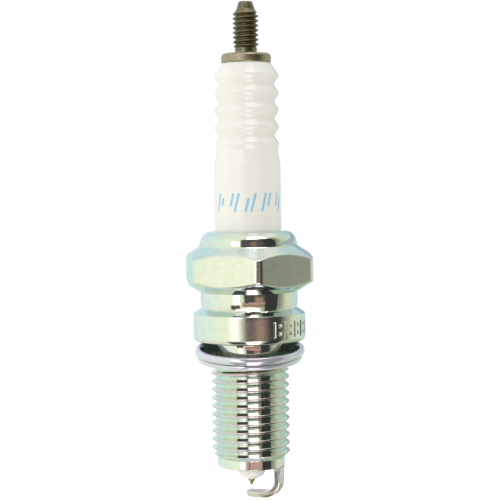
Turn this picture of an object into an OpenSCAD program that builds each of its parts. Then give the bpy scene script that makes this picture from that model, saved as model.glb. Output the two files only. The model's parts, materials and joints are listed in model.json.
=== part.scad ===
// Fine-wire resistor spark plug, M12 x 1.25 thread, 19 mm reach, 18 mm hexagon.
// Millimetres. The origin is the centre of the gasket seat under the collar.
// +Z runs along the plug to the terminal; the spark gap is at the bottom.

/* [Shell] */
// Width across the flats of the hexagon
hex_flats = 18; // [16:0.1:20.8]
// Diameter that the corners of the hexagon are turned to
hex_corner_d = 20.4; // [19:0.1:21]
// Direction of one corner of the hexagon, in degrees from +X
hex_corner_angle = -82; // [-90:1:90]
// Diameter of the collar above the gasket
collar_d = 16.8; // [16:0.1:18]
// Height of the straight part of the collar
collar_h = 4.2; // [3:0.1:5]
// Height of the top of the crimped rim above the seat
crimp_top = 16.6; // [16:0.1:17.5]

/* [Head thread] */
// Diameter over the crests
thread_d = 11.8; // [11.7:0.05:12]
// Pitch
thread_pitch = 1.25; // [1:0.25:1.5]
// Length from the seat to the end of the shell
reach = 19; // [18:0.1:21]
// Height of the first full crest below the seat
thread_start = 4.4; // [4.2:0.1:6]
// Diameter of the plain barrel under the thread
barrel_end_d = 10.2; // [9.8:0.1:10.3]

/* [Terminal] */
// Diameter over the crests of the terminal thread
stud_d = 3.84; // [3.8:0.02:4]
// Pitch of the terminal thread
stud_pitch = 0.7; // [0.5:0.1:0.8]
// Diameter of the round flange on top of the insulator
flange_d = 7.44; // [7:0.02:8]
// Height of the top of the terminal above the seat
terminal_top = 50.75; // [50:0.05:53]

/* [Insulator] */
// Diameter of the plain barrel above the shell
barrel_d = 9.9; // [9.4:0.1:10]
// Height of the top of the insulator above the seat
insulator_top = 41.6; // [41:0.05:43]
// Number of ribs
rib_count = 5; // [3:1:5]
// Distance from rib to rib
rib_pitch = 2.55; // [2.4:0.05:2.6]
// Height of the lowest rib's crest above the seat
rib_base = 29.46; // [29:0.02:30]
// Length of the nose past the end of the shell
nose_proud = 2; // [1:0.05:3]

/* [Gasket] */
// Outer diameter of the folded gasket
gasket_d = 16.6; // [16:0.1:17]
// Thickness of the folded gasket
gasket_h = 2.05; // [1.5:0.05:2.2]
// Angle by which the loose gasket hangs down at the front
gasket_droop = 6.5; // [0:0.5:7]

/* [Electrodes] */
// Diameter of the fine wire at the tip of the centre electrode
wire_d = 0.56; // [0.4:0.02:0.8]
// Distance between the wire and the ground electrode
spark_gap = 0.75; // [0.6:0.05:1.1]
// Thickness of the ground electrode
ground_t = 1.05; // [0.9:0.05:1.4]
// Width of the ground electrode
ground_w = 2.4; // [2:0.1:2.8]
// Direction of the ground electrode's leg, in degrees from +X
ground_angle = -24; // [-60:1:60]

/* [Hidden] */
$fn = 96;

// Gap that keeps pieces that merely touch from overlapping
skin = 0.02;

// Shell outside, upwards from the seat
collar_r = collar_d / 2;
collar_edge = 0.6;
neck_r = 7.32;
neck_bottom = 5;
neck_top = 7.4;
crimp_r = 7.38;
hex_top = 14.2;
hex_top_r = 7.5;
hex_chamfer = 1.9;
hex_r = hex_flats / 2 / cos(30);
hex_corner_r = hex_corner_d / 2;
crimp_fillet_r = 7.2;

// Shell outside, downwards from the seat
thread_r = thread_d / 2;
thread_root_r = thread_r - 0.7;
relief_r = thread_root_r - 0.02;
thread_chamfer = thread_r - relief_r;
thread_end = 17.55;
barrel_end_r = barrel_end_d / 2;
end_chamfer = 0.2;
crest_land = 0.22;
// Height of the groove's middle where it crosses +X
thread_phase = -4.82;

// Shell bore
bore_r = 6.05;
bore_step_top = 4.4;
bore_step_bottom = 3.1;
middle_bore_r = 4.15;
ledge_top = -9;
ledge_bore_r = 3.05;
ledge_bottom = -11.5;
mouth_bore_r = 3.7;
lip_r = barrel_d / 2 + 0.06;
lip_under = 15.7;

// Insulator: the glaze ends above the shell, and the part held in the shell is bare
barrel_r = barrel_d / 2;
glaze = 0.04;
glaze_end = 16.8;
bare_r = barrel_r - glaze;
rib_r = 4.49;
rib_wave = 0.33;
rib_steps = 10;
belly_r = bore_r - 0.1;
belly_top = 10.9;
belly_shoulder = 11.7;
middle_r = middle_bore_r - 0.1;
nose_root_r = ledge_bore_r - 0.15;
nose_shoulder_top = -7.6;
nose_end = -reach - nose_proud;
nose_r = 2.15;
nose_tip_r = 0.78;
stud_bore_r = 1.9;
core_bore_r = 1.15;
tip_bore_r = 0.67;
bore_ledge_top = 2.6;
bore_ledge_bottom = 1.7;

// Inside the insulator's bore
stud_root_r = stud_d / 2 - 0.42;
stud_land = 0.12;
stud_thread_bottom = 43.9;
stud_thread_phase = 44.02;
stud_thread_top = 49.4;
stud_neck_r = 1.63;
stud_tip_r = 1;
stud_cone_r = 1.38;
shank_r = 1.75;
shank_end = 21;
seal_top = 23.5;
upper_seal_bottom = 18.5;
resistor_bottom = 7.5;
lower_seal_bottom = 3.6;
electrode_r = 1.1;
electrode_head_r = 1.6;
electrode_cone_end = -21.45;
core_r = 0.6;
core_top = 1.5;
core_bottom = -17.5;
arm_top = -21.93 - spark_gap;
tip_end = arm_top + spark_gap;
tip_root = nose_end - 0.1;

// Rings that pack the insulator into the shell
ring_mid_r = (bore_r + bare_r) / 2;
ring_wire_r = (bore_r - bare_r) / 2 - 0.06;
lower_ring_z = belly_shoulder + ring_wire_r + 0.1;
upper_ring_z = lip_under - ring_wire_r - 0.06;

// Gasket, about the plane of its top
gasket_r = gasket_d / 2;
gasket_upper_h = 1.15;
gasket_step = 0.4;
gasket_lip_r = 5.65;
gasket_web_h = 0.45;
gasket_hinge_y = gasket_r - 0.6;
gasket_gap = 0.05;

// Ground electrode
leg_outer_r = barrel_end_r;
bend_r = 2.9;
arm_past_axis = 0.45;

function rib_radius(z) = rib_r + rib_wave * cos(360 * (z - rib_base) / rib_pitch);

// Points from angle a to angle b on a circle of radius r around [x, y]
function arc_points(x, y, r, a, b, steps) =
    [for (i = [0:steps]) [x + r * cos(a + (b - a) * i / steps), y + r * sin(a + (b - a) * i / steps)]];

// Helical V-shaped cutter: a trapezium of four points swept along a right-hand helix
module thread_cutter(root_r, crest_r, pitch, land, z_low, z_high, phase_z, steps) {
    over_r = crest_r + 0.08 * pitch;
    half_root = pitch * 0.07;
    half_crest = (pitch - land) / 2;
    half_over = half_root + (half_crest - half_root) * (over_r - root_r) / (crest_r - root_r);
    first = floor((z_low - phase_z) / pitch * steps);
    last = ceil((z_high - phase_z) / pitch * steps);
    count = last - first;
    rings = [for (i = [0:count]) let (
        a = 360 * (i + first) / steps,
        z = phase_z + pitch * (i + first) / steps)
        each [[root_r * cos(a), root_r * sin(a), z - half_root],
            [over_r * cos(a), over_r * sin(a), z - half_over],
            [over_r * cos(a), over_r * sin(a), z + half_over],
            [root_r * cos(a), root_r * sin(a), z + half_root]]];
    sides = [for (i = [0:count - 1], k = [0:3]) let (
        p = 4 * i + k,
        q = 4 * i + (k + 1) % 4)
        each [[p, q, p + 4], [q, q + 4, p + 4]]];
    ends = [[0, 2, 1], [0, 3, 2], [4 * count, 4 * count + 1, 4 * count + 2],
        [4 * count, 4 * count + 2, 4 * count + 3]];
    polyhedron(points = rings, faces = concat(sides, ends), convexity = 20);
}

// The crimped rim, the neck, the collar and the head thread's blank: all of the shell but the hexagon
module shell_blank() {
    rotate_extrude() polygon([
        [0, crimp_top],
        [6.1, crimp_top - 0.12],
        [6.65, crimp_top - 0.45],
        [7.02, crimp_top - 0.88],
        [crimp_fillet_r, crimp_top - 1.3],
        [crimp_r, crimp_top - 2.1],
        [hex_top_r, hex_top],
        [hex_top_r + 0.12, hex_top - 0.3],
        [neck_r, hex_top - 0.6],
        [neck_r, neck_bottom],
        [collar_r, collar_h],
        [collar_r, collar_edge],
        [collar_r - collar_edge * 0.3, collar_edge * 0.3],
        [collar_r - collar_edge, 0],
        [relief_r, 0],
        [relief_r, -thread_start + thread_chamfer],
        [thread_r, -thread_start],
        [thread_r, -thread_end + thread_chamfer],
        [barrel_end_r, -thread_end],
        [barrel_end_r, -reach + end_chamfer],
        [barrel_end_r - end_chamfer, -reach],
        [0, -reach]
    ]);
}

module shell_bore() {
    rotate_extrude() polygon([
        [0, crimp_top + 1],
        [lip_r, crimp_top + 1],
        [lip_r, lip_under],
        [bore_r, lip_under],
        [bore_r, bore_step_top],
        [middle_bore_r, bore_step_bottom],
        [middle_bore_r, ledge_top],
        [ledge_bore_r, ledge_top - 0.8],
        [ledge_bore_r, ledge_bottom],
        [mouth_bore_r, ledge_bottom - 0.8],
        [mouth_bore_r, -reach - 1],
        [0, -reach - 1]
    ]);
}

// Ball centred on the axis whose surface passes through two circles, each given as [radius, height]
module shoulder_ball(low, high) {
    centre_z = (low * low - high * high) / (low[1] - high[1]) / 2;
    translate([0, 0, centre_z])
        sphere(r = norm([low[0], low[1] - centre_z]));
}

// The hexagon's prism, with turned corners and a domed shoulder at each end
module hexagon() {
    intersection() {
        rotate([0, 0, hex_corner_angle])
            translate([0, 0, neck_top - 0.5])
                cylinder(r = hex_r, h = hex_top - neck_top + 1, $fn = 6);
        translate([0, 0, neck_top - 1])
            cylinder(r = hex_corner_r, h = hex_top - neck_top + 2);
        shoulder_ball([hex_corner_r, hex_top - hex_chamfer], [hex_top_r, hex_top]);
        shoulder_ball([neck_r, neck_top], [hex_corner_r, neck_top + hex_chamfer]);
    }
}

module shell() {
    color([0.78, 0.82, 0.74])
        difference() {
            union() {
                shell_blank();
                hexagon();
            }
            shell_bore();
            thread_cutter(thread_root_r, thread_r, thread_pitch, crest_land,
                -thread_end - 0.6, -thread_start + 1.2, thread_phase, 24);
        }
}

module insulator() {
    rib_top = rib_base + rib_pitch * (rib_count - 1);
    ribs = [for (i = [0:rib_steps * (rib_count - 1) + rib_steps / 2])
        let (z = rib_top - rib_pitch * i / rib_steps) [rib_radius(z), z]];
    color([0.96, 0.95, 0.9])
        difference() {
            rotate_extrude() polygon(concat(
                [[0, insulator_top], [flange_d / 2 - 0.12, insulator_top]],
                [for (rise = [0.54, 0.27]) [rib_radius(rib_top + rise), rib_top + rise]],
                ribs,
                [
                    [4.62, rib_base - rib_pitch / 2 - 0.25],
                    [barrel_r, rib_base - rib_pitch / 2 - 1.6],
                    [barrel_r, glaze_end],
                    [bare_r, glaze_end - 0.6],
                    [bare_r, belly_shoulder],
                    [belly_r, belly_top],
                    [belly_r, bore_step_top + 0.35],
                    [middle_r, bore_step_bottom + 0.35],
                    [middle_r, nose_shoulder_top],
                    [nose_root_r, nose_shoulder_top - 0.75],
                    [nose_r, nose_end + 1.3],
                    [nose_r - 0.25, nose_end + 0.85],
                    [nose_tip_r, nose_end],
                    [0, nose_end]
                ]
            ));
            rotate_extrude() polygon([
                [0, insulator_top + 1],
                [stud_bore_r, insulator_top + 1],
                [stud_bore_r, bore_ledge_top],
                [core_bore_r, bore_ledge_bottom],
                [core_bore_r, nose_end + 1.35],
                [tip_bore_r, nose_end + 0.87],
                [tip_bore_r, electrode_cone_end],
                [0, electrode_cone_end]
            ]);
        }
}

module terminal_stud() {
    color([0.42, 0.41, 0.36])
        difference() {
            rotate_extrude() polygon(concat(
                [
                    [0, terminal_top],
                    [stud_tip_r, terminal_top],
                    [stud_cone_r, stud_thread_top + 0.15],
                    [stud_d / 2, stud_thread_top - 0.55],
                    [stud_d / 2, stud_thread_bottom + 0.1],
                    [stud_neck_r, stud_thread_bottom - 0.1],
                    [stud_neck_r, insulator_top + 1.51]
                ],
                [[2.6, insulator_top + 1.43]],
                arc_points(flange_d / 2 - 0.6, insulator_top + 0.65, 0.6, 80, 0, 4),
                [
                    [flange_d / 2, insulator_top + skin],
                    [shank_r, insulator_top + skin],
                    [shank_r, shank_end + 0.4],
                    [shank_r - 0.4, shank_end],
                    [0, shank_end]
                ]
            ));
            thread_cutter(stud_root_r, stud_d / 2, stud_pitch, stud_land,
                stud_thread_bottom, stud_thread_top + 0.6, stud_thread_phase, 16);
        }
}

module upper_glass_seal() {
    color([0.35, 0.33, 0.3])
        difference() {
            translate([0, 0, upper_seal_bottom])
                cylinder(r = stud_bore_r - skin, h = seal_top - upper_seal_bottom);
            rotate_extrude() polygon([
                [0, seal_top + 1],
                [shank_r + skin, seal_top + 1],
                [shank_r + skin, shank_end + 0.4 - skin],
                [shank_r - 0.4 + skin, shank_end - skin],
                [0, shank_end - skin]
            ]);
        }
}

module resistor() {
    color([0.18, 0.17, 0.17])
        translate([0, 0, resistor_bottom + skin])
            cylinder(r = stud_bore_r - skin, h = upper_seal_bottom - resistor_bottom - 2 * skin);
}

module lower_glass_seal() {
    color([0.35, 0.33, 0.3])
        difference() {
            translate([0, 0, bore_ledge_top + skin])
                cylinder(r = stud_bore_r - skin, h = resistor_bottom - bore_ledge_top - skin);
            translate([0, 0, bore_ledge_top - 1])
                cylinder(r = electrode_head_r + skin, h = lower_seal_bottom - bore_ledge_top + 1 + skin);
        }
}

module centre_electrode() {
    cone_top_r = 0.62;
    color([0.62, 0.6, 0.56])
        difference() {
            rotate_extrude() polygon([
                [0, lower_seal_bottom],
                [electrode_head_r, lower_seal_bottom],
                [electrode_head_r, bore_ledge_top - 0.33],
                [electrode_r, bore_ledge_bottom - 0.03],
                [electrode_r, nose_end + 1.5],
                [cone_top_r, nose_end + 1.02],
                [cone_top_r, nose_end - 0.16],
                [wire_d / 2 + 0.08, electrode_cone_end],
                [0, electrode_cone_end]
            ]);
            translate([0, 0, core_bottom - skin])
                cylinder(r = core_r + skin, h = core_top - core_bottom + 2 * skin);
            translate([0, 0, electrode_cone_end - 1])
                cylinder(r = wire_d / 2 + skin / 2, h = tip_root - electrode_cone_end + 1 + skin);
        }
}

module electrode_core() {
    color([0.75, 0.43, 0.26])
        translate([0, 0, core_bottom])
            cylinder(r = core_r, h = core_top - core_bottom);
}

module electrode_tip() {
    color([0.75, 0.66, 0.48])
        translate([0, 0, tip_end])
            cylinder(r = wire_d / 2, h = tip_root - tip_end);
}

// Side outline of the ground electrode: x outwards from the axis, y up
module ground_outline() {
    leg_in = leg_outer_r - ground_t;
    polygon(concat(
        [[leg_outer_r, -reach - skin], [leg_in, -reach - skin]],
        arc_points(leg_in - bend_r + ground_t, arm_top + bend_r - ground_t, bend_r - ground_t, 0, -90, 8),
        [[-arm_past_axis, arm_top], [-arm_past_axis, arm_top - ground_t * 0.55],
            [-arm_past_axis + 0.3, arm_top - ground_t]],
        arc_points(leg_outer_r - bend_r, arm_top - ground_t + bend_r, bend_r, -90, 0, 12)
    ));
}

// Plan of the ground electrode: the free end is narrower, with cut corners
module ground_plan() {
    half = ground_w / 2;
    polygon([
        [leg_outer_r, -half], [leg_outer_r, half], [1.4, half],
        [-arm_past_axis + 0.25, half * 0.8], [-arm_past_axis, half * 0.55],
        [-arm_past_axis, -half * 0.55], [-arm_past_axis + 0.25, -half * 0.8], [1.4, -half]
    ]);
}

module ground_electrode() {
    color([0.72, 0.71, 0.68])
        rotate([0, 0, ground_angle])
            intersection() {
                translate([0, ground_w, 0])
                    rotate([90, 0, 0])
                        linear_extrude(height = 2 * ground_w) ground_outline();
                translate([0, 0, arm_top - ground_t - 1])
                    linear_extrude(height = reach * 2) ground_plan();
                translate([0, 0, arm_top - ground_t - 1])
                    cylinder(r = leg_outer_r, h = reach);
            }
}

// Half section of the folded ring, with its top face at height 0
module gasket_section() {
    lower_h = gasket_h - gasket_upper_h;
    upper_r = gasket_upper_h / 2;
    lower_r = lower_h / 2;
    polygon(concat(
        arc_points(gasket_r - 1.35, -upper_r, upper_r, 180, 90, 4),
        arc_points(gasket_r - upper_r, -upper_r, upper_r, 90, -60, 8),
        arc_points(gasket_r - lower_r - gasket_step, -gasket_upper_h - lower_r, lower_r, 60, -90, 8),
        [
            [gasket_lip_r + 0.5, -gasket_h],
            [gasket_lip_r, -gasket_h + gasket_web_h * 0.5],
            [gasket_lip_r + 0.15, -gasket_h + gasket_web_h]
        ]
    ));
}

module gasket() {
    color([0.85, 0.84, 0.83])
        translate([0, gasket_hinge_y, -gasket_gap])
            rotate([gasket_droop, 0, 0])
                translate([0, -gasket_hinge_y, 0])
                    rotate_extrude() gasket_section();
}

module seat_packing() {
    inner = nose_root_r + 0.12;
    color([0.6, 0.6, 0.62])
        rotate_extrude() polygon([
            [middle_bore_r - skin, ledge_top + 0.02],
            [inner + 0.25, ledge_top - 0.62],
            [inner + 0.25, nose_shoulder_top - 0.62],
            [middle_r, nose_shoulder_top - 0.06],
            [middle_bore_r - skin, nose_shoulder_top - 0.06]
        ]);
}

module wire_ring(z) {
    rotate_extrude()
        translate([ring_mid_r, z])
            circle(r = ring_wire_r);
}

module lower_wire_ring() {
    color([0.55, 0.55, 0.57]) wire_ring(lower_ring_z);
}

module talc_ring() {
    low = lower_ring_z + ring_wire_r + skin;
    high = upper_ring_z - ring_wire_r - skin;
    color([0.9, 0.89, 0.84])
        rotate_extrude()
            translate([bare_r + skin, low])
                square([bore_r - bare_r - 2 * skin, high - low]);
}

module upper_wire_ring() {
    color([0.55, 0.55, 0.57]) wire_ring(upper_ring_z);
}

shell();
insulator();
terminal_stud();
upper_glass_seal();
resistor();
lower_glass_seal();
centre_electrode();
electrode_core();
electrode_tip();
ground_electrode();
gasket();
seat_packing();
lower_wire_ring();
talc_ring();
upper_wire_ring();
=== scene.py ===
"""Spark plug with a ribbed insulator, an iridescent plated shell and a loose folded gasket.

Lengths are in millimetres in the functions below; every mesh is scaled to metres when it is built.
Azimuths are degrees about +Z from +X, so -90 is the side that faces the camera.
"""
import json
import math

import bmesh
import bpy
import numpy as np
from mathutils import Matrix, Vector


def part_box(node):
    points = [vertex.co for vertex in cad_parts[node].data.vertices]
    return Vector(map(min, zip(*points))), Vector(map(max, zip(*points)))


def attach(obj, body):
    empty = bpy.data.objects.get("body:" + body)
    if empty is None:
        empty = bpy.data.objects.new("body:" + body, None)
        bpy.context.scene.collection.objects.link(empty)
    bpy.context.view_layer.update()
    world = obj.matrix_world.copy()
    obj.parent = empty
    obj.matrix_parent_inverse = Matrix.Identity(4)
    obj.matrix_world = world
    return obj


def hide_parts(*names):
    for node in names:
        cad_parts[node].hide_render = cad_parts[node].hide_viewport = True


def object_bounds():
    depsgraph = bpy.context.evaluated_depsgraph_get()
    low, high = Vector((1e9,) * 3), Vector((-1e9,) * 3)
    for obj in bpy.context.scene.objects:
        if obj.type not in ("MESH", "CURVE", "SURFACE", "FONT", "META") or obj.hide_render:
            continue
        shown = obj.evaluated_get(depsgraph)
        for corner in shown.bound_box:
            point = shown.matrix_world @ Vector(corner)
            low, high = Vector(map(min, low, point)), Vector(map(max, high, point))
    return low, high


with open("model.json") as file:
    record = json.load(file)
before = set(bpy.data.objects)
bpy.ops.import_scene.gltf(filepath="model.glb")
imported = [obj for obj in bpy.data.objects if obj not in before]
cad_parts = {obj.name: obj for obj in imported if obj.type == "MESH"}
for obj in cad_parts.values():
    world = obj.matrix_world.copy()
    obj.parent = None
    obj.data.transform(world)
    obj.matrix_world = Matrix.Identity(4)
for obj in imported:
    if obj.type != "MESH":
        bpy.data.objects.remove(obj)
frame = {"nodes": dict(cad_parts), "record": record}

cad_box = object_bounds()

MM = 0.001
FRONT = -90


def span(node):
    """Lowest and highest corner of a CAD node, in millimetres."""
    low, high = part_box(node)
    return np.array(low) / MM, np.array(high) / MM


# ---------------------------------------------------------------- Sizes

shell_low, shell_high = span("shell")
insulator_low, insulator_high = span("insulator")
stud_low, stud_high = span("terminal_stud")
arm_low, _ = span("ground_electrode")
tip_low, tip_high = span("electrode_tip")

REACH = -shell_low[2]
CRIMP_TOP = shell_high[2]
CRIMP_FOOT = (7.5, 14.2)
HEX_FLAT = 9.0
HEX_CORNER = 10.2
HEX_CORNER_R = 1.24
HEX_CORNER_AZIMUTH = -82
HEX_SHOULDER = 12.49
HEX_UNDERCUT = 9.115
HEX_BEVEL = 0.1
NECK_R = 7.32
NECK_HIGH, NECK_LOW = 7.4, 5.0
NECK_CROWN_Z = 6.65
NECK_CROWN = 0.0545
COLLAR_R = 8.4
COLLAR_TOP = 4.2
RELIEF_R = 5.18
THREAD_R = 5.9
THREAD_ROOT_R = 5.2
THREAD_PITCH = 1.25
THREAD_PHASE = -4.82
THREAD_TOP = -3.68
THREAD_END = -17.55
END_CHAMFER = 0.2
BARREL_END_R = 5.1
BORE_LIP_R = 5.01
BARREL_R = 4.95
RIB_R = 4.49
RIB_WAVE = 0.31
RIB_BASE = 29.46
RIB_PITCH = 2.55
RIBS_TOP = 40.2
FLANGE_R = 3.72
FLANGE_SEAT = insulator_high[2] + 0.02
FLANGE_TOP = FLANGE_SEAT + 1.41
SHANK_R = 1.75
STUD_R = 1.92
STUD_ROOT_R = 1.5
STUD_NECK_R = 1.63
STUD_PITCH = 0.7
STUD_PHASE = 44.02
GROOVE_BLEND = 0.13
GASKET_SWING = frame["record"]["behaviour"]["joints"][0]
GASKET_HINGE = GASKET_SWING["pos_m"]
GASKET_DROOP = math.radians(GASKET_SWING["range_deg"][1])
GROUND_AZIMUTH = -24
GROUND_THICK = 1.05
GROUND_HALF_WIDTH = 1.2
GROUND_BEND = 2.9
ARM_END = -0.54


# ---------------------------------------------------------------- Mesh tools

def ring(r, z, angles):
    """Points at radius r and height z, which are numbers or hold one value for each azimuth."""
    a = np.radians(angles)
    r, z = np.broadcast_to(r, a.shape), np.broadcast_to(z, a.shape)
    return np.stack([r * np.cos(a), r * np.sin(a), z], axis=1)


def filleted(outline, steps=4):
    """The outline's points, with an arc wherever a point (r, z, radius) asks for one."""
    points = []
    for i, corner in enumerate(outline):
        here = np.array(corner[:2], float)
        if len(corner) == 2:
            points.append(tuple(here))
            continue
        before = np.array(outline[i - 1][:2], float) - here
        after = np.array(outline[(i + 1) % len(outline)][:2], float) - here
        u, v = before / np.linalg.norm(before), after / np.linalg.norm(after)
        half = math.acos(max(-1, min(1, float(u @ v)))) / 2
        reach = min(corner[2] / math.tan(half), 0.48 * np.linalg.norm(before), 0.48 * np.linalg.norm(after))
        radius = reach * math.tan(half)
        middle = here + (u + v) / np.linalg.norm(u + v) * radius / math.sin(half)
        start, end = here + u * reach - middle, here + v * reach - middle
        sweep = math.acos(max(-1, min(1, float(start @ end) / radius ** 2)))
        for k in range(steps + 1):
            t = k / steps
            arm = (math.sin((1 - t) * sweep) * start + math.sin(t * sweep) * end) / math.sin(sweep)
            points.append(tuple(middle + arm))
    return points


def smooth_curve(points, steps=5):
    """Points on a smooth curve through the given points."""
    knots = [np.array(p, float) for p in points]
    knots = [2 * knots[0] - knots[1]] + knots + [2 * knots[-1] - knots[-2]]
    curve = []
    for a, b, c, d in zip(knots, knots[1:], knots[2:], knots[3:]):
        for t in np.arange(steps) / steps:
            curve.append(tuple(0.5 * (2 * b + (c - a) * t + (2 * a - 5 * b + 4 * c - d) * t ** 2
                                      + (3 * b - a - 3 * c + d) * t ** 3)))
    return curve + [tuple(points[-1])]


class Skin:
    """Points in millimetres and faces of one piece."""

    def __init__(self):
        self.points = []
        self.faces = []

    def add(self, points):
        """Adds the points and returns their numbers."""
        first = len(self.points)
        self.points.extend(tuple(map(float, p)) for p in points)
        return list(range(first, len(self.points)))

    def band(self, one, other):
        """Quads between two closed rings with the same number of points."""
        n = len(one)
        self.faces += [(one[i], one[(i + 1) % n], other[(i + 1) % n], other[i]) for i in range(n)]

    def zip(self, one, angles_one, other, angles_other):
        """Triangles between two closed rings whose points stand at different azimuths."""
        i = j = 0
        n, m = len(one), len(other)
        while i < n or j < m:
            next_one = angles_one[i + 1] if i + 1 < n else angles_one[0] + 360
            next_other = angles_other[j + 1] if j + 1 < m else angles_other[0] + 360
            if j == m or (i < n and next_one <= next_other):
                self.faces.append((one[i % n], one[(i + 1) % n], other[j % m]))
                i += 1
            else:
                self.faces.append((one[i % n], other[(j + 1) % m], other[j % m]))
                j += 1

    def turn(self, outline, angles):
        """Rings for an outline of (r, z) about the axis, joined in order; a radius of 0 is one point."""
        rings = []
        for r, z in outline:
            if np.ndim(r) == 0 and r == 0:
                rings.append(self.add([(0, 0, z)]) * len(angles))
            else:
                rings.append(self.add(ring(r, z, angles)))
        for one, other in zip(rings, rings[1:]):
            if one[0] == one[-1] or other[0] == other[-1]:
                self.fan(one, other)
            else:
                self.band(one, other)
        return rings

    def fan(self, one, other):
        """Triangles between a ring and a single point, in either order."""
        tip, rim = (one[0], other) if one[0] == one[-1] else (other[0], one)
        self.faces += [(tip, rim[i], rim[(i + 1) % len(rim)]) for i in range(len(rim))]

    def helix(self, count, offsets, pitch, start, turns, radius):
        """A threaded wall whose rows follow the helix. Returns the azimuths of its points, and a function
        that closes its lower or upper end to a flat ring at these azimuths.

        count is the number of points in a turn, and offsets are the heights of the rows within one pitch.
        radius(s, z) is the radius at height z, on the row that is at height s where its turn starts.
        """
        angles = np.arange(count) * 360 / count
        heights = [start + pitch * k + s for k in range(turns) for s in offsets] + [start + pitch * turns]
        step = len(offsets)
        rows = []
        for s in heights:
            z = s + pitch * angles / 360
            rows.append(self.add(ring([radius(s, h) for h in z], z, angles)))
        last = count - 1
        for k in range(len(rows) - 1):
            for i in range(last):
                self.faces.append((rows[k][i], rows[k][i + 1], rows[k + 1][i + 1], rows[k + 1][i]))
            if k + step + 1 < len(rows):
                above = k + step
                self.faces.append((rows[k][last], rows[above][0], rows[above + 1][0], rows[k + 1][last]))

        def close(flat, upper):
            row = rows[-1] if upper else rows[0]
            for i in range(last):
                self.faces.append((row[i], row[i + 1], flat[i + 1], flat[i]))
            if upper:
                seam = [rows[k][last] for k in range(len(rows) - 1 - step, len(rows))]
                self.fan_strip(rows[-1][0], seam + [flat[last], flat[0]])
            else:
                seam = [rows[k][0] for k in range(step, -1, -1)]
                self.fan_strip(rows[0][last], seam + [flat[0], flat[last]])

        return angles, close

    def fan_strip(self, tip, path):
        """Triangles between one point and each step of an open path."""
        self.faces += [(tip, a, b) for a, b in zip(path, path[1:])]

    def build(self, name, material, body="plug", sharp=35, weighted=True):
        """The object, scaled to metres, shaded smooth except across sharp edges, and riding on its body."""
        mesh = bpy.data.meshes.new(name)
        mesh.from_pydata([Vector(p) * MM for p in self.points], [], self.faces)
        shape = bmesh.new()
        shape.from_mesh(mesh)
        bmesh.ops.remove_doubles(shape, verts=shape.verts, dist=1e-8)
        bmesh.ops.recalc_face_normals(shape, faces=shape.faces)
        shape.to_mesh(mesh)
        shape.free()
        mesh.shade_smooth()
        mesh.set_sharp_from_angle(angle=math.radians(sharp))
        obj = bpy.data.objects.new(name, mesh)
        bpy.context.scene.collection.objects.link(obj)
        for m in material if isinstance(material, (list, tuple)) else [material]:
            mesh.materials.append(m)
        if weighted:
            normals = obj.modifiers.new("weighted normals", "WEIGHTED_NORMAL")
            normals.keep_sharp = True
        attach(obj, body)
        return obj


def smoothstep(low, high, x):
    """0 below low and 1 above high, with a smooth rise between them."""
    t = np.clip((np.asarray(x, float) - low) / (high - low), 0, 1)
    return t * t * (3 - 2 * t)


def soft_min(a, b, blend):
    """The smaller of two numbers, rounded off where they are closer than blend."""
    near = max(blend - abs(a - b), 0) / blend
    return min(a, b) - near * near * blend / 4


def v_groove(depth_r, crest_r, pitch, root_flat, crest_flat, phase):
    """The function that gives a V thread's radius at height s above a root at height phase.

    Its crests and roots are rounded.
    """
    def radius(s):
        u = abs((s - phase + pitch / 2) % pitch - pitch / 2)
        flank = (u - root_flat / 2) / (pitch / 2 - crest_flat / 2 - root_flat / 2)
        rise = soft_min(1, -soft_min(0, -flank, GROOVE_BLEND), GROOVE_BLEND)
        return depth_r + (crest_r - depth_r) * rise
    return radius


# ---------------------------------------------------------------- Materials

def srgb(*rgb):
    """A colour given as 0 to 255, as the linear values that the shaders use."""
    return tuple(c / 12.92 if c <= 0.04045 else ((c + 0.055) / 1.055) ** 2.4 for c in (v / 255 for v in rgb))


class Nodes:
    """Makes and links the nodes of one tree. Inputs may be numbers, colours or other nodes' sockets."""

    def __init__(self, tree):
        self.tree = tree

    def node(self, kind, inputs=None, **settings):
        made = self.tree.nodes.new(kind)
        for key, value in settings.items():
            setattr(made, key, value)
        for key, value in (inputs or {}).items():
            if isinstance(value, bpy.types.NodeSocket):
                self.tree.links.new(value, made.inputs[key])
            else:
                made.inputs[key].default_value = value
        return made

    def math(self, operation, a, b=0.0, c=0.0):
        return self.node("ShaderNodeMath", {0: a, 1: b, 2: c}, operation=operation).outputs[0]

    def ramp(self, value, stops):
        """Colours or grey levels at positions from 0 to 1 along value."""
        made = self.node("ShaderNodeValToRGB", {"Fac": value})
        points = made.color_ramp.elements
        while len(points) < len(stops):
            points.new(0.5)
        for point, (at, colour) in zip(points, stops):
            point.position = at
            point.color = (*colour, 1) if isinstance(colour, tuple) else (colour, colour, colour, 1)
        return made.outputs["Color"]

    def mix(self, factor, a, b, blend="MIX"):
        a, b = [v if isinstance(v, bpy.types.NodeSocket) else (*v, 1) for v in (a, b)]
        inputs = {0: factor, 6: a, 7: b}
        return self.node("ShaderNodeMix", inputs, data_type="RGBA", blend_type=blend).outputs[2]

    def part(self, vector, axis):
        return self.node("ShaderNodeSeparateXYZ", {0: vector}).outputs[axis]

    def step(self, value, low, high):
        """0 where value is below low and 1 above high, or the other way round if high is the lower."""
        return self.node("ShaderNodeMapRange", {"Value": value, "From Min": low, "From Max": high},
                         interpolation_type="SMOOTHSTEP").outputs[0]


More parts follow.
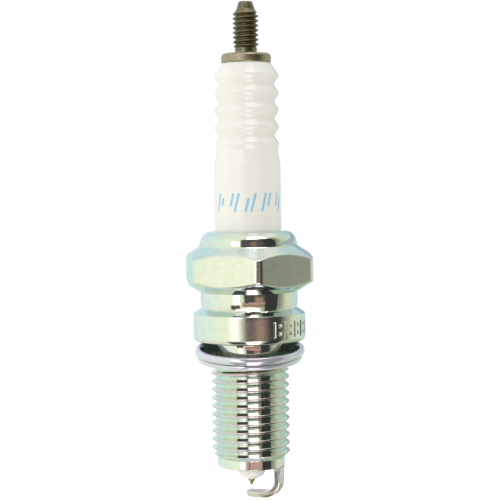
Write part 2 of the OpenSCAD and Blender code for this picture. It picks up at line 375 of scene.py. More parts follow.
class Finish(Nodes):
    """A procedural material on object coordinates in millimetres."""

    def __init__(self, name, **constants):
        self.material = bpy.data.materials.new(name)
        self.material.use_nodes = True
        super().__init__(self.material.node_tree)
        self.shader = self.tree.nodes["Principled BSDF"]
        for socket, value in constants.items():
            self.socket(socket).default_value = (*value, 1) if isinstance(value, tuple) else value
        place = self.node("ShaderNodeTexCoord").outputs["Object"]
        self.place = self.node("ShaderNodeMapping", {"Vector": place, "Scale": (1 / MM,) * 3}).outputs[0]
        self.geometry = self.node("ShaderNodeNewGeometry")

    def socket(self, name):
        """The shader's input for a name such as base_color."""
        return self.shader.inputs[name.replace("_", " ").title().replace("Ior", "IOR")]

    def noise(self, size, detail=2.0, stretch=(1, 1, 1), distortion=0.0):
        """Noise with blobs about size millimetres across."""
        place = self.node("ShaderNodeMapping", {"Vector": self.place, "Scale": stretch}).outputs[0]
        return self.node("ShaderNodeTexNoise", {
            "Vector": place, "Scale": 1 / size, "Detail": detail, "Distortion": distortion}).outputs["Fac"]

    def wear(self, value, low, high):
        """value mapped from 0..1 to low..high."""
        return self.node("ShaderNodeMapRange", {"Value": value, "To Min": low, "To Max": high}).outputs[0]

    def bump(self, height, distance):
        """A normal for height in 0..1 that stands distance millimetres high."""
        inputs = {"Height": height, "Distance": distance * MM, "Strength": 1.0}
        return self.node("ShaderNodeBump", inputs).outputs[0]

    def finish(self, **sockets):
        """Links each value to its socket on the shader and returns the material."""
        for name, value in sockets.items():
            self.tree.links.new(value, self.socket(name))
        return self.material


def plated(name, roughness, grain, grain_size):
    """Bright zinc plating with an iridescent passivate.

    Its colour shifts with the slope and in patches. On the thread it runs from blue on the faces that look
    down to yellow on those that look up, with lilac crests.
    """
    f = Finish(name, metallic=1.0, specular_tint=srgb(240, 255, 255))
    slope = f.math("MULTIPLY_ADD", f.part(f.geometry.outputs["Normal"], "Z"), 0.5, 0.5)
    patches = f.math("SUBTRACT", f.noise(2.6, 3.0, stretch=(1, 1, 1.6), distortion=0.6), 0.5)
    film = f.math("MULTIPLY_ADD", patches, 0.35, slope)
    plain = f.ramp(film, [
        (0.0, srgb(226, 226, 232)), (0.25, srgb(236, 231, 234)), (0.42, srgb(252, 240, 234)),
        (0.5, srgb(248, 246, 236)), (0.6, srgb(242, 246, 230)), (0.75, srgb(232, 242, 232)),
        (0.92, srgb(228, 236, 232)), (1.0, srgb(230, 236, 234))])
    flank = f.ramp(f.math("MULTIPLY_ADD", patches, 0.12, slope), [
        (0.08, srgb(230, 234, 252)), (0.3, srgb(216, 234, 250)), (0.5, srgb(234, 244, 240)),
        (0.65, srgb(248, 248, 222)), (0.9, srgb(250, 246, 216))])
    out = f.node("ShaderNodeVectorMath", {0: f.place, 1: (1, 1, 0)}, operation="MULTIPLY").outputs[0]
    radius = f.node("ShaderNodeVectorMath", {0: out}, operation="LENGTH").outputs["Value"]
    crest = f.step(radius, THREAD_R - 0.07, THREAD_R - 0.02)
    turns = f.mix(crest, flank, srgb(234, 214, 226))
    height = f.part(f.place, "Z")
    above_end = f.step(height, THREAD_END + 0.35, THREAD_END + 0.85)
    below_top = f.step(height, THREAD_TOP + 0.3, THREAD_TOP - 0.2)
    outside = f.step(radius, BARREL_END_R - 0.06, BARREL_END_R - 0.02)
    threaded = f.math("MULTIPLY", f.math("MULTIPLY", above_end, below_top), outside)
    fine = f.noise(grain_size, 4.0)
    dull = f.ramp(f.noise(1.1, 5.0), [(0.3, 0.93), (0.7, 1.0)])
    colour = f.mix(1.0, f.mix(threaded, plain, turns), dull, "MULTIPLY")
    rough = f.wear(fine, roughness * 0.75, roughness * 1.25)
    return f.finish(base_color=colour, roughness=rough, normal=f.bump(fine, grain))


def glaze():
    """Glossy cream-white glaze, unglazed and matte on the nose, whose colour is also lightened as painted
    light.
    """
    f = Finish("glazed_insulator", ior=1.52, coat_weight=0.35, coat_roughness=0.13, coat_ior=1.5)
    inside_shell = 10.0
    glazed = f.math("GREATER_THAN", f.part(f.place, "Z"), inside_shell)
    body = f.ramp(f.noise(5.0, 3.0), [(0.3, srgb(246, 243, 231)), (0.7, srgb(249, 247, 236))])
    # painted light: the unglazed nose is partly whiter ceramic and partly lightened to stand in for light
    # that the shell's mouth shades off
    bare_nose_with_painted_light = f.ramp(f.noise(0.4, 4.0), [(0.3, srgb(252, 248, 240)), (0.7, srgb(255, 253, 248))])
    rough = f.math("MULTIPLY_ADD", glazed, -0.38, f.wear(f.noise(0.5, 3.0), 0.5, 0.6))
    ripple = f.bump(f.noise(1.6, 2.0, stretch=(1, 1, 0.6)), 0.006)
    return f.finish(base_color=f.mix(glazed, bare_nose_with_painted_light, body), roughness=rough, normal=ripple)


def metal(name, low, high, roughness, patch=0.8, grain=0.004, grain_size=0.12, metallic=1.0):
    """Plain metal: two tones in patches, with a fine grain in its roughness and its surface."""
    f = Finish(name, metallic=metallic)
    fine = f.noise(grain_size, 4.0)
    colour = f.ramp(f.noise(patch, 4.0), [(0.32, low), (0.68, high)])
    rough = f.wear(fine, roughness * 0.8, roughness * 1.2)
    return f.finish(base_color=colour, roughness=rough, normal=f.bump(fine, grain))


def dull_steel():
    """Steel with a thin yellowish plating gone dull, darker on the thread than on the flange."""
    f = Finish("terminal_steel", metallic=1.0)
    colour = f.ramp(f.noise(0.35, 4.0), [
        (0.3, srgb(150, 146, 126)), (0.5, srgb(182, 168, 142)), (0.7, srgb(206, 186, 158))])
    fine = f.noise(0.12, 4.0)
    on_thread = f.step(f.part(f.place, "Z"), FLANGE_TOP - 0.13, FLANGE_TOP + 0.47)
    shade = f.ramp(on_thread, [(0.0, srgb(255, 255, 255)), (1.0, srgb(190, 192, 186))])
    return f.finish(base_color=f.mix(1.0, colour, shade, "MULTIPLY"), roughness=f.wear(fine, 0.3, 0.46),
                    normal=f.bump(fine, 0.014))


def powder(name, low, high, roughness, grain_size):
    """Fused or pressed powder: speckled and matte."""
    f = Finish(name)
    speck = f.noise(grain_size, 6.0)
    colour = f.ramp(speck, [(0.4, low), (0.6, high)])
    return f.finish(base_color=colour, roughness=f.wear(speck, roughness, 1.0), normal=f.bump(speck, 0.03))


def ink():
    """Light blue print, slightly uneven in cover."""
    f = Finish("print_ink", roughness=0.3)
    cover = f.noise(0.3, 4.0)
    colour = f.ramp(cover, [(0.3, srgb(142, 200, 236)), (0.7, srgb(168, 214, 240))])
    return f.finish(base_color=colour, normal=f.bump(cover, 0.004))


bright_plating = plated("bright_plating", 0.07, 0.0015, 0.35)
satin_plating = plated("satin_plating", 0.13, 0.02, 0.17)
glaze_material = glaze()
ink_material = ink()
terminal_material = dull_steel()
gasket_material = metal(
    "gasket_steel", srgb(238, 226, 242), srgb(226, 238, 242), 0.12, 1.8, 0.002, 0.3, metallic=0.6)
# painted shade: a darker, duller grey-green for the gasket's inner faces and slit, standing in for the shade
# and dark reflections within the fold
shaded_gasket_inside_material = metal(
    "gasket_steel_painted_shade_inside", srgb(122, 142, 130), srgb(164, 182, 166), 0.2, 1.2, 0.003, 0.3, metallic=0.35)
nickel_material = metal("nickel_alloy", srgb(222, 208, 210), srgb(242, 230, 232), 0.15, 0.7, 0.003, 0.1)
wire_material = metal("fine_wire", srgb(176, 152, 116), srgb(206, 186, 148), 0.28, 0.2, 0.002, 0.08)
copper_material = metal("copper", srgb(196, 118, 84), srgb(220, 140, 104), 0.3)
steel_material = metal("plain_steel", srgb(150, 150, 152), srgb(178, 178, 180), 0.32)
seal_material = powder("seal_glass", srgb(70, 62, 56), srgb(122, 110, 96), 0.5, 0.25)
resistor_material = powder("resistor_mix", srgb(40, 38, 38), srgb(74, 72, 70), 0.6, 0.2)
talc_material = powder("talc", srgb(226, 222, 210), srgb(240, 238, 230), 0.85, 0.15)


# ---------------------------------------------------------------- Shell

STAMP_FROM, STAMP_TO = -66, -6
STAMP_LOW, STAMP_HIGH = 1.0, 3.3
STAMP_DEPTH = 0.15
STAMP_PITCH = 6.4
STAMP_SOFT = 0.5
STAMP_HALF_WIDTH = 1.2
DOT_INNER, DOT_OUTER = 0.35, 0.8


def stamp_mask(azimuth, z):
    """0 on the collar and 1 inside one of its stamped marks: upright bars with pairs of dots between them."""
    mask = np.zeros(np.shape(azimuth))
    middle = (STAMP_LOW + STAMP_HIGH) / 2
    bar = [(STAMP_LOW, STAMP_HIGH)]
    dots = [(middle - DOT_OUTER, middle - DOT_INNER), (middle + DOT_INNER, middle + DOT_OUTER)]
    for k, centre in enumerate(np.arange(STAMP_FROM + 2, STAMP_TO, STAMP_PITCH)):
        off = np.abs(azimuth - centre)
        across = 1 - smoothstep(STAMP_HALF_WIDTH - STAMP_SOFT, STAMP_HALF_WIDTH + STAMP_SOFT, off)
        for low, high in dots if k % 2 else bar:
            along = smoothstep(low - 0.1, low + 0.1, z) * (1 - smoothstep(high - 0.1, high + 0.1, z))
            mask = np.maximum(mask, across * along)
    return mask


def corner_span():
    """Degrees from the middle of a rounded corner to where the flat starts, and its centre's radius."""
    centre = HEX_FLAT - HEX_CORNER_R
    middle = centre / math.cos(math.radians(30))
    touch = math.degrees(math.atan2(centre * math.tan(math.radians(30)), HEX_FLAT))
    return 30 - touch, middle


def shell_azimuths():
    """Azimuths close together on the hexagon's rounded corners and where the collar is stamped."""
    corner, _ = corner_span()
    half = list(np.linspace(0, corner, 7)) + [4.6, 8, 12, 16, 20, 24, 27.5]
    sector = sorted({s * a for a in half for s in (-1, 1)} | {30.0})
    exact = sorted((HEX_CORNER_AZIMUTH + 60 * k + a) % 360 for k in range(6) for a in sector)
    fine = [a % 360 for a in np.arange(STAMP_FROM - 1, STAMP_TO + 1, 0.5)]
    extra = [a for a in fine if min(abs(a - e) for e in exact) > 0.2]
    return np.array(sorted(set(exact + extra)))


def hexagon_edge(azimuths):
    """Radius of the hexagon with rounded corners at each azimuth."""
    corner, middle = corner_span()
    off_corner = np.abs((azimuths - HEX_CORNER_AZIMUTH + 30) % 60 - 30)
    flat = HEX_FLAT / np.cos(np.radians(30 - off_corner))
    turn = np.radians(np.minimum(off_corner, corner))
    arc = middle * np.cos(turn) + np.sqrt(np.maximum(HEX_CORNER_R ** 2 - (middle * np.sin(turn)) ** 2, 0))
    return np.where(off_corner < corner, np.minimum(arc, flat), flat)


def hexagon_rows(azimuths, start, end):
    """Radius and height of each row down the hexagon, between conical shoulders.

    The shoulders start and end at circles (r, z), and the flats cut them in arcs.
    """
    edge = hexagon_edge(azimuths)
    rows = []
    for (r0, z0), corner_z, side in ((start, HEX_SHOULDER, 1), (end, HEX_UNDERCUT, -1)):
        slope = (corner_z - z0) / (HEX_CORNER - r0)
        cone = [r0 + (edge - HEX_BEVEL - r0) * t for t in (0.15, 0.35, 0.55, 0.75, 0.9, 1)]
        brim = z0 + slope * (edge - r0)
        part = [(r, z0 + slope * (r - r0)) for r in cone] + [
            (edge - 0.28 * HEX_BEVEL, brim - side * 0.22 * HEX_BEVEL),
            (edge, brim - side * HEX_BEVEL),
            (edge, brim - side * 3 * HEX_BEVEL)]
        rows += part if side == 1 else part[::-1]
    return rows


def head_thread_radius():
    """The function for Skin.helix that gives the head thread's radius, with the relief above it, the barrel
    below it and chamfers between them."""
    groove = v_groove(THREAD_ROOT_R, THREAD_R, THREAD_PITCH, 0.12, 0.2, THREAD_PHASE)
    mid_thread = -10

    def radius(s, z):
        start = RELIEF_R + max(0, THREAD_TOP - z)
        end = BARREL_END_R + 1.1 * max(0, z - THREAD_END)
        return max(min(groove(s), start, end), RELIEF_R if z > mid_thread else BARREL_END_R)

    return radius


def shell():
    """Crimped rim, hexagon, neck, stamped collar, relief, thread and end barrel, then the stepped bore."""
    skin = Skin()
    azimuths = shell_azimuths()
    foot_r, foot_z = CRIMP_FOOT
    fall = (foot_z - HEX_SHOULDER) / (HEX_CORNER - foot_r)
    shoulder = (foot_r + 0.55, foot_z - 0.55 * fall)
    widest = (7.31, CRIMP_TOP - 1.75)
    crimp = [(BORE_LIP_R, CRIMP_TOP - 0.1)] + smooth_curve([
        (BORE_LIP_R + 0.05, CRIMP_TOP - 0.05), (6.1, CRIMP_TOP - 0.12), (6.65, CRIMP_TOP - 0.45),
        (7.0, CRIMP_TOP - 0.9), (7.2, CRIMP_TOP - 1.35), widest])
    crimp += filleted([widest, (7.38, CRIMP_TOP - 2.1), (foot_r, foot_z, 0.4), shoulder], 6)[1:]
    neck = [(NECK_R - NECK_CROWN * (z - NECK_CROWN_Z) ** 2, z) for z in np.linspace(NECK_HIGH, NECK_LOW, 13)]
    collar_heights = np.linspace(STAMP_HIGH + 0.3, STAMP_LOW - 0.3, 37)
    step = filleted([neck[-1], (COLLAR_R, COLLAR_TOP, 0.14), (COLLAR_R, collar_heights[0])], 4)
    from_x = (azimuths + 180) % 360 - 180
    stamped = [(COLLAR_R - STAMP_DEPTH * stamp_mask(from_x, z), z) for z in collar_heights]
    foot = filleted([(COLLAR_R, collar_heights[-1]), (COLLAR_R, 0.6), (COLLAR_R - 0.18, 0.18, 0.2),
                     (COLLAR_R - 0.6, 0.0, 0.1), (6.2, 0.0)], 3)
    hexagon = hexagon_rows(azimuths, shoulder, neck[0])
    rings = skin.turn(crimp + hexagon + neck + step[1:-1] + stamped + foot[1:], azimuths)

    rise = [0, 0.04, 0.07, 0.1, 0.13, 0.16, 0.22, 0.32, 0.42, 0.5, 0.535, 0.565, 0.595]
    from_crest = rise + [THREAD_PITCH / 2] + [THREAD_PITCH - u for u in rise[:0:-1]]
    first = 0.42
    offsets = sorted((u - first) % THREAD_PITCH for u in from_crest)
    crest = THREAD_PHASE + THREAD_PITCH / 2
    bottom, turns = crest - 12 * THREAD_PITCH + first, 13
    angles, close = skin.helix(120, offsets, THREAD_PITCH, bottom, turns, head_thread_radius())
    relief = [skin.add(ring(r, z, angles)) for r, z in filleted([
        (5.5, 0.0), (RELIEF_R, 0.0, 0.15), (RELIEF_R, -1.2)], 3)]
    skin.zip(rings[-1], azimuths, relief[0], angles)
    for one, other in zip(relief, relief[1:]):
        skin.band(one, other)
    close(relief[-1], True)

    bore = filleted([
        (BARREL_END_R, -REACH + END_CHAMFER), (BARREL_END_R, -REACH + 0.7 * END_CHAMFER, 0.07),
        (BARREL_END_R - END_CHAMFER, -REACH, 0.1), (3.7, -REACH, 0.15), (3.7, -12.3), (3.05, -11.5),
        (3.05, -9.8), (4.15, -9.0), (4.15, 3.1), (6.05, 4.4), (6.05, 15.7), (BORE_LIP_R, 15.7),
        (BORE_LIP_R, CRIMP_TOP - 0.3)], 4)
    inner = skin.turn(bore, angles)
    close(inner[0], False)
    skin.zip(rings[0], azimuths, inner[-1], angles)

    obj = skin.build("shell_body", [bright_plating, satin_plating])
    for face in obj.data.polygons:
        middle = face.center / MM
        out = math.hypot(middle.x, middle.y)
        on_hexagon = 9.05 < middle.z < 13.9 and out > 8
        on_collar = 0.5 < middle.z < 4.05 and out > COLLAR_R - 0.3
        face.material_index = 1 if on_hexagon or on_collar else 0
    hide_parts("shell")
    return obj


# ---------------------------------------------------------------- Insulator

def insulator():
    """Ribbed and glazed above, held in the shell below, with a conical nose and a stepped bore."""
    top, nose = insulator_high[2], insulator_low[2]
    heights = np.linspace(RIBS_TOP, RIB_BASE - 0.4, 64)
    ribs = [(RIB_R + RIB_WAVE * math.cos(math.tau * (z - RIB_BASE) / RIB_PITCH), z) for z in heights]
    outline = filleted([(3.3, top), (3.6, top, 0.1), ribs[0]], 4)[:-1] + ribs + filleted([
        ribs[-1], (4.58, 28.45, 0.6), (BARREL_R, 26.58, 0.9), (BARREL_R, 16.8), (4.91, 16.2), (4.91, 11.7),
        (5.95, 10.9), (5.95, 4.75), (4.05, 3.45), (4.05, -7.6), (2.9, -8.35), (2.2, nose + 1.35, 0.5),
        (1.9, nose + 0.6, 0.7), (0.8, nose, 0.3), (0.67, nose), (0.67, nose + 0.87), (1.15, nose + 1.35),
        (1.15, 1.7), (1.9, 2.6), (1.9, top, 0.05)], 6)[1:]
    skin = Skin()
    rings = skin.turn(outline, np.arange(160) * 360 / 160)
    skin.band(rings[-1], rings[0])
    obj = skin.build("insulator_body", glaze_material, weighted=False)
    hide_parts("insulator")
    return obj


def printed_bars():
    """A plain row of slanted double strokes around the barrel, of unequal height."""
    low, high, thick, sunk = 19.5, 22.2, 0.012, 0.01
    groups, spacing, slant, wide, columns = 5, 29, 8, 4.2, 3
    skin = Skin()
    for k in range(groups):
        for stroke, shift in ((0, -6.5), (1, 3.5)):
            azimuth = FRONT + spacing * (k - groups // 2) + shift
            bottom = low + 0.8 * ((k + stroke) % 3 == 1)
            top = high - 0.7 * ((k + 2 * stroke) % 4 == 2)
            loops = []
            for r in (BARREL_R - sunk, BARREL_R + thick):
                rows = []
                for z in np.linspace(bottom, top, 5):
                    lean = slant * (z - low) / (high - low)
                    rows.append(skin.add(ring(r, z, azimuth + lean + np.linspace(0, wide, columns))))
                for one, other in zip(rows, rows[1:]):
                    skin.faces += [(one[i], one[i + 1], other[i + 1], other[i]) for i in range(columns - 1)]
                right = [row[-1] for row in rows[1:-1]]
                left = [row[0] for row in rows[-2:0:-1]]
                loops.append(rows[0] + right + rows[-1][::-1] + left)
            skin.band(*loops)
    obj = skin.build("printed_bars", ink_material, weighted=False)
    return obj


# ---------------------------------------------------------------- Terminal

def terminal():
    """Threaded stud, round flange and shank in one piece."""
    top, bottom = stud_high[2], stud_low[2]
    skin = Skin()
    groove = v_groove(STUD_ROOT_R, STUD_R, STUD_PITCH, 0.09, 0.12, STUD_PHASE)
    tip_r, cone_r, cone_z, crest_end = 1.0, 1.38, 49.55, 48.85

    def radius(s, z):
        limit = np.interp(z, (43.9, 44.15, crest_end, cone_z, top),
                          (STUD_NECK_R, STUD_R, STUD_R, cone_r, tip_r))
        least = np.interp(z, (43.85, 44.0, 49.3, cone_z, top),
                          (STUD_NECK_R, STUD_ROOT_R, 1.3, cone_r, tip_r))
        return max(min(groove(s), limit), least)

    rise = [0, 0.03, 0.05, 0.08, 0.14, 0.2, 0.25, 0.28, 0.31]
    from_root = rise + [STUD_PITCH / 2] + [STUD_PITCH - u for u in rise[:0:-1]]
    first = 0.56
    offsets = sorted((u - first) % STUD_PITCH for u in from_root)
    low_row, turns = STUD_PHASE - 2 * STUD_PITCH + first, 9
    angles, close = skin.helix(72, offsets, STUD_PITCH, low_row, turns, radius)
    below = filleted([
        (STUD_NECK_R, FLANGE_TOP + 0.12), (STUD_NECK_R + 0.03, FLANGE_TOP + 0.06), (2.6, FLANGE_TOP, 0.5),
        (FLANGE_R, FLANGE_TOP, 0.6), (FLANGE_R, FLANGE_SEAT, 0.16), (SHANK_R, FLANGE_SEAT),
        (SHANK_R, bottom + 0.4), (SHANK_R - 0.4, bottom), (0, bottom)], 6)
    lower = skin.turn(below, angles)
    close(lower[0], False)
    tip = filleted([(1.16, top - 0.5), (tip_r, top, 0.16), (0.8, top - 0.01), (0, top - 0.02)], 4)
    upper = skin.turn(tip, angles)
    close(upper[0], True)
    obj = skin.build("terminal_stud_body", terminal_material, sharp=50, weighted=False)
    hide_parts("terminal_stud")
    return obj


# ---------------------------------------------------------------- Gasket

def gasket():
    """Sheet folded into a rolled rim with a slit under it and a lip that holds it on the plug."""
    section = filleted([
        (7.42, -0.35, 0.2), (7.6, 0.0, 0.25), (8.04, -0.02, 0.3), (8.3, -0.55, 0.5), (8.12, -1.1, 0.12),
        (7.5, -1.12, 0.02), (7.5, -1.22, 0.02), (7.82, -1.26, 0.12), (7.9, -1.6, 0.3), (7.66, -2.02, 0.35),
        (6.1, -2.05, 0.2), (5.65, -1.9, 0.08), (5.72, -1.72, 0.08), (6.2, -1.62, 0.3), (7.12, -1.52, 0.3),
        (7.34, -1.0, 0.3)], 5)
    angles = np.arange(144) * 360 / 144
    wave = np.radians(angles)
    ripple = 0.02 * np.sin(3 * wave + 0.7) + 0.012 * np.sin(7 * wave)
    tab = sum(np.exp(-(((angles - a + 180) % 360 - 180) / 4.0) ** 2) for a in (-9, 82, 189))
    outline = []
    for r, z in section:
        inner = float(smoothstep(6.0, 5.7, r))
        rim = float(smoothstep(-0.6, -1.0, z)) * float(smoothstep(7.4, 7.9, r))
        outline.append((r - inner * 0.3 * tab + 0.4 * ripple * rim, z))
    skin = Skin()
    rings = skin.turn(outline, angles)
    skin.band(rings[-1], rings[0])
    hinge = Vector(GASKET_HINGE) / MM
    tilt = Matrix.Translation(hinge) @ Matrix.Rotation(GASKET_DROOP, 4, "X") @ Matrix.Translation(-hinge)
    hung = tilt @ Matrix.Translation((0, 0, hinge.z))
    skin.points = [tuple(hung @ Vector(p)) for p in skin.points]
    obj = skin.build("gasket_ring", [gasket_material, shaded_gasket_inside_material], body="gasket", sharp=60,
                     weighted=False)
    # painted shade: the inner faces and the slit take the darker second material, standing in for shade and
    # dark reflections in the fold
    level = hung.inverted()
    for face in obj.data.polygons:
        middle = level @ (face.center / MM)
        out = math.hypot(middle.x, middle.y)
        shaded_inner_face = out < 7.42 and middle.z > -1.8
        shaded_slit_face = out < 7.98 and -1.27 < middle.z < -1.08
        face.material_index = 1 if shaded_inner_face or shaded_slit_face else 0
    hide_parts("gasket")
    return obj


# ---------------------------------------------------------------- Electrodes

def rounded_section(half_width, half_thick, radius, steps):
    """Points round a rounded rectangle, as (across, out)."""
    points = []
    for corner, (sx, sy) in enumerate(((1, 1), (-1, 1), (-1, -1), (1, -1))):
        for k in range(steps + 1):
            a = math.radians(90 * corner + 90 * k / steps)
            points.append((sx * (half_width - radius) + radius * math.cos(a),
                           sy * (half_thick - radius) + radius * math.sin(a)))
    return points


def ground_electrode():
    """A strap welded under the shell's end, bent in under the wire."""
    half_thick = GROUND_THICK / 2
    arm_z = arm_low[2] + half_thick
    bend = GROUND_BEND - half_thick
    upright_x = BARREL_END_R - half_thick
    centre = (upright_x - bend, arm_z + bend)
    path = [((upright_x, z), (1, 0)) for z in np.linspace(-REACH - 0.01, centre[1], 5)[:-1]]
    for a in np.radians(np.linspace(0, -90, 13)):
        out = (math.cos(a), math.sin(a))
        path.append(((centre[0] + bend * out[0], centre[1] + bend * out[1]), out))
    for x in (1.8, 1.3, 0.8, 0.3, -0.1, -0.3, -0.42, -0.5, ARM_END):
        path.append(((x, arm_z), (0, -1)))
    skin = Skin()
    rings = []
    for (x, z), (ox, oz) in path:
        tip = float(smoothstep(1.4, -0.3, x)) if oz == -1 and x < 1.4 else 0.0
        rounded = oz == -1 and x < ARM_END + 0.25
        end = math.sqrt(max(0.0, min(1.0, (x - ARM_END) / 0.25))) if rounded else 1.0
        drawn_in = 0.14 * float(smoothstep(-REACH, centre[1] - 0.8, z))
        wide = (GROUND_HALF_WIDTH - drawn_in) * (1 - 0.14 * tip) * (0.78 + 0.22 * end)
        high = half_thick * (0.72 + 0.28 * end)
        lift = GROUND_THICK * 0.14 * (1 - end)
        points = []
        for across, out in rounded_section(wide, high, 0.24 * (0.6 + 0.4 * end), 5):
            across *= 1 - 0.06 * (1 + out / high)
            px, pz = x + ox * (out - lift), z + oz * (out - lift)
            points.append((min(px, math.sqrt(BARREL_END_R ** 2 - across ** 2)), across, pz))
        rings.append(skin.add(points))
    for one, other in zip(rings, rings[1:]):
        skin.band(one, other)
    skin.faces.append(tuple(rings[0]))
    skin.faces.append(tuple(rings[-1]))
    turned = Matrix.Rotation(math.radians(GROUND_AZIMUTH), 4, "Z")
    skin.points = [tuple(turned @ Vector(p)) for p in skin.points]
    obj = skin.build("ground_electrode_strap", nickel_material, sharp=50)
    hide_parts("ground_electrode")
    return obj


def weld_bead():
    """Metal pushed up around the root of the ground electrode."""
    rng = np.random.default_rng(7)
    core = rounded_section(GROUND_HALF_WIDTH, GROUND_THICK / 2, 0.2, 5)
    around = len(core)
    size = 0.12 + 0.05 * rng.random(around)
    skin = Skin()
    rings = []
    for t in np.radians(np.arange(0, 360, 45)):
        points = []
        for (across, out), r in zip(core, size):
            x = BARREL_END_R - GROUND_THICK / 2 + out * (1 + 0.35 * r * math.cos(t))
            y = across * (1 + 0.8 * r * math.cos(t))
            limit = math.sqrt((BARREL_END_R - 0.01) ** 2 - across ** 2) if out > 0 else math.inf
            points.append((min(x, limit), y, -REACH + r * math.sin(t)))
        rings.append(skin.add(points))
    for one, other in zip(rings, rings[1:] + rings[:1]):
        skin.band(one, other)
    turned = Matrix.Rotation(math.radians(GROUND_AZIMUTH), 4, "Z")
    skin.points = [tuple(turned @ Vector(p)) for p in skin.points]
    obj = skin.build("ground_electrode_weld", nickel_material, sharp=70, weighted=False)
    return obj


def centre_electrode():
    """Rod with a head in the insulator's bore and a cone that holds the fine wire."""
    nose = insulator_low[2]
    outline = filleted([
        (0, 3.6), (1.6, 3.6, 0.1), (1.6, 2.27), (1.1, 1.67), (1.1, nose + 1.5), (0.62, nose + 1.02),
        (0.62, nose - 0.16, 0.08), (0.36, nose - 0.45, 0.06), (0.26, nose - 0.47), (0, nose - 0.45)], 4)
    skin = Skin()
    skin.turn(outline, np.arange(64) * 360 / 64)
    obj = skin.build("centre_electrode_rod", wire_material, weighted=False)
    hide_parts("centre_electrode")
    return obj


def fine_wire():
    """Wire on the end of the centre electrode, with a rounded edge."""
    r = (tip_high[0] - tip_low[0]) / 2
    outline = filleted([(0, tip_high[2]), (r, tip_high[2]), (r, tip_low[2], 0.05), (0, tip_low[2])], 4)
    skin = Skin()
    skin.turn(outline, np.arange(48) * 360 / 48)
    obj = skin.build("fine_wire_tip", wire_material, weighted=False)
    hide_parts("electrode_tip")
    return obj


def dress_inner_nodes():
    """Procedural materials on the sealed pieces, whose CAD meshes are kept."""
    looks = {
        "upper_glass_seal": seal_material, "lower_glass_seal": seal_material, "resistor": resistor_material,
        "electrode_core": copper_material, "seat_packing": steel_material, "talc_ring": talc_material,
        "lower_wire_ring": steel_material, "upper_wire_ring": steel_material}
    for name, material in looks.items():
        mesh = frame["nodes"][name].data
        mesh.materials.clear()
        mesh.materials.append(material)


# ---------------------------------------------------------------- Studio

def camera():
    """A long lens slightly above the middle of the plug, looking along +Y; angles are in degrees."""
    distance, height, pitch, roll, yaw, lens = 0.224, 0.0241, 2.68, -0.77, -0.054, 107.3
    data = bpy.data.cameras.new("camera")
    data.lens, data.sensor_width = lens, 36
    data.clip_start, data.clip_end = 0.01, 10
    obj = bpy.data.objects.new("camera", data)
    turn = (Matrix.Rotation(math.radians(yaw), 4, "Z") @ Matrix.Rotation(math.radians(90 - pitch), 4, "X")
            @ Matrix.Rotation(math.radians(roll), 4, "Z"))
    obj.matrix_world = Matrix.Translation((0, -distance, height)) @ turn
    bpy.context.scene.collection.objects.link(obj)
    bpy.context.scene.camera = obj


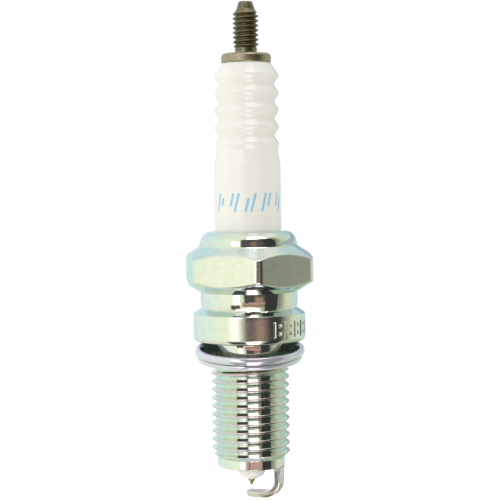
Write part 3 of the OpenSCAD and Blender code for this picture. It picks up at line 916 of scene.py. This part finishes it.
def studio_world():
    """White to the camera, a room of walls, dark panels and lamps to reflections, and soft light to the rest.

    The room is laid out by azimuth from the viewer's side, positive to the right, and by elevation.
    """
    world = bpy.data.worlds.new("studio")
    bpy.context.scene.world = world
    world.use_nodes = True
    tree = world.node_tree
    tree.nodes.clear()

    n = Nodes(tree)

    def window(value, low, high, soft):
        """1 between low and high, 0 outside them, with edges soft degrees to either side."""
        rise = n.step(value, low - soft, low + soft)
        return n.math("MULTIPLY", rise, n.step(value, high + soft, high - soft))

    direction = n.node("ShaderNodeTexCoord").outputs["Generated"]
    parts = n.node("ShaderNodeSeparateXYZ", {0: direction}).outputs
    x, y, z = parts["X"], parts["Y"], parts["Z"]
    uneven = [n.node("ShaderNodeTexNoise", {"Vector": direction, "Scale": scale, "Detail": 3.0})
              for scale in (5.0, 7.0)]
    wander_across, wander_up = [n.math("MULTIPLY_ADD", noise.outputs["Fac"], 8.0, -4.0) for noise in uneven]
    around = n.math("ARCTAN2", x, n.math("MULTIPLY", y, -1.0))
    azimuth = n.math("MULTIPLY_ADD", around, 180 / math.pi, wander_across)
    elevation = n.math("MULTIPLY_ADD", n.math("ARCSINE", z), 180 / math.pi, wander_up)

    def at(degrees):
        return (degrees + 180) / 360

    room = n.ramp(n.math("MULTIPLY_ADD", azimuth, 1 / 360, 0.5), [
        (at(-180), (0.33, 0.38, 0.39)), (at(-128), (0.37, 0.44, 0.44)), (at(-88), (0.38, 0.46, 0.415)),
        (at(-44), (0.43, 0.475, 0.375)), (at(60), (0.13, 0.135, 0.11)), (at(78), (0.12, 0.135, 0.11)),
        (at(88), (0.21, 0.235, 0.18)), (at(98), (0.31, 0.35, 0.265)), (at(125), (0.3, 0.36, 0.32)),
        (at(152), (0.29, 0.345, 0.345)), (at(180), (0.32, 0.375, 0.38))])
    panels = [
        # colour, azimuths, elevations, softness of the edges
        ((0.4, 0.41, 0.47), (-200, 0), (8, 21), 4),
        ((0.2, 0.22, 0.26), (0, 200), (8, 21), 4),
        ((0.37, 0.42, 0.31), (-200, 0), (-66, -19), 5),
        ((0.21, 0.26, 0.17), (0, 200), (-66, -19), 5),
        ((0.43, 0.435, 0.385), (-200, 200), (50, 100), 6),
        ((0.36, 0.37, 0.37), (-200, 200), (-100, -66), 5),
        ((0.66, 0.65, 0.62), (-38, -22), (-13, 8), 2),
        ((1.2, 1.3, 1.45), (-29, -14), (6, 22), 2),
        ((0.8, 0.79, 0.74), (-42, -21), (21, 36), 2),
        ((0.04, 0.036, 0.035), (-13, 39), (-12, 8), 2.5),
        ((0.04, 0.036, 0.035), (-12, 39), (8, 21), 2),
        ((0.045, 0.04, 0.038), (-20, 39), (21, 48), 2.5),
        ((0.17, 0.12, 0.095), (14, 33), (-9.5, 1), 3.5),
        ((0.12, 0.08, 0.06), (4, 20), (22, 34), 4),
        ((0.275, 0.18, 0.16), (-17, 38), (-12.6, -9.8), 1),
        ((0.15, 0.1, 0.066), (-17, 38), (-18, -12.6), 1.5),
        ((1.3, 1.28, 1.16), (-6, 27), (-62, -20), 2),
        ((0.7, 0.62, 0.58), (-40, -8), (-27, -21), 2),
        ((0.03, 0.035, 0.04), (-47, -22), (-22, -14), 1.5),
        ((0.03, 0.035, 0.04), (-50, -10), (-60, -27), 2),
        ((0.018, 0.02, 0.02), (37, 72), (-66, 50), 2.5),
        ((1.4, 1.4, 1.4), (-5, 60), (52, 76), 2)]
    for colour, across, up, soft in panels:
        lit = n.math("MULTIPLY", window(azimuth, *across, soft), window(elevation, *up, soft))
        room = n.mix(lit, room, colour)

    ambient = n.ramp(n.math("MULTIPLY_ADD", x, 0.5, 0.5), [(0.0, 0.54), (0.5, 0.47), (1.0, 0.35)])
    rays = n.node("ShaderNodeLightPath").outputs
    seen = n.mix(rays["Is Glossy Ray"], ambient, room)
    light = n.node("ShaderNodeBackground", {"Color": seen, "Strength": 2.1})
    white = n.node("ShaderNodeBackground", {"Color": (1, 1, 1, 1), "Strength": 1.0})
    both = n.node("ShaderNodeMixShader", {0: rays["Is Camera Ray"], 1: light.outputs[0], 2: white.outputs[0]})
    n.node("ShaderNodeOutputWorld", {"Surface": both.outputs[0]})
    bpy.context.scene.view_settings.view_transform = "Standard"


def floor():
    """A plain white floor under the plug, seen only by the camera."""
    size, drop = 0.6, 0.06
    mesh = bpy.data.meshes.new("floor")
    low = cad_box[0][2] - drop
    mesh.from_pydata([(-size, -size, low), (size, -size, low), (size, size, low), (-size, size, low)], [],
                     [(0, 1, 2, 3)])
    obj = bpy.data.objects.new("floor", mesh)
    material = bpy.data.materials.new("floor_white")
    material.use_nodes = True
    shader = material.node_tree.nodes["Principled BSDF"]
    shader.inputs["Base Color"].default_value = (0.9, 0.9, 0.9, 1)
    shader.inputs["Emission Color"].default_value = (1, 1, 1, 1)
    shader.inputs["Emission Strength"].default_value = 1.0
    mesh.materials.append(material)
    obj.visible_glossy = False
    obj.visible_diffuse = False
    bpy.context.scene.collection.objects.link(obj)


camera()
studio_world()
floor()
shell()
insulator()
printed_bars()
terminal()
gasket()
ground_electrode()
weld_bead()
centre_electrode()
fine_wire()
dress_inner_nodes()

bpy.context.view_layer.update()
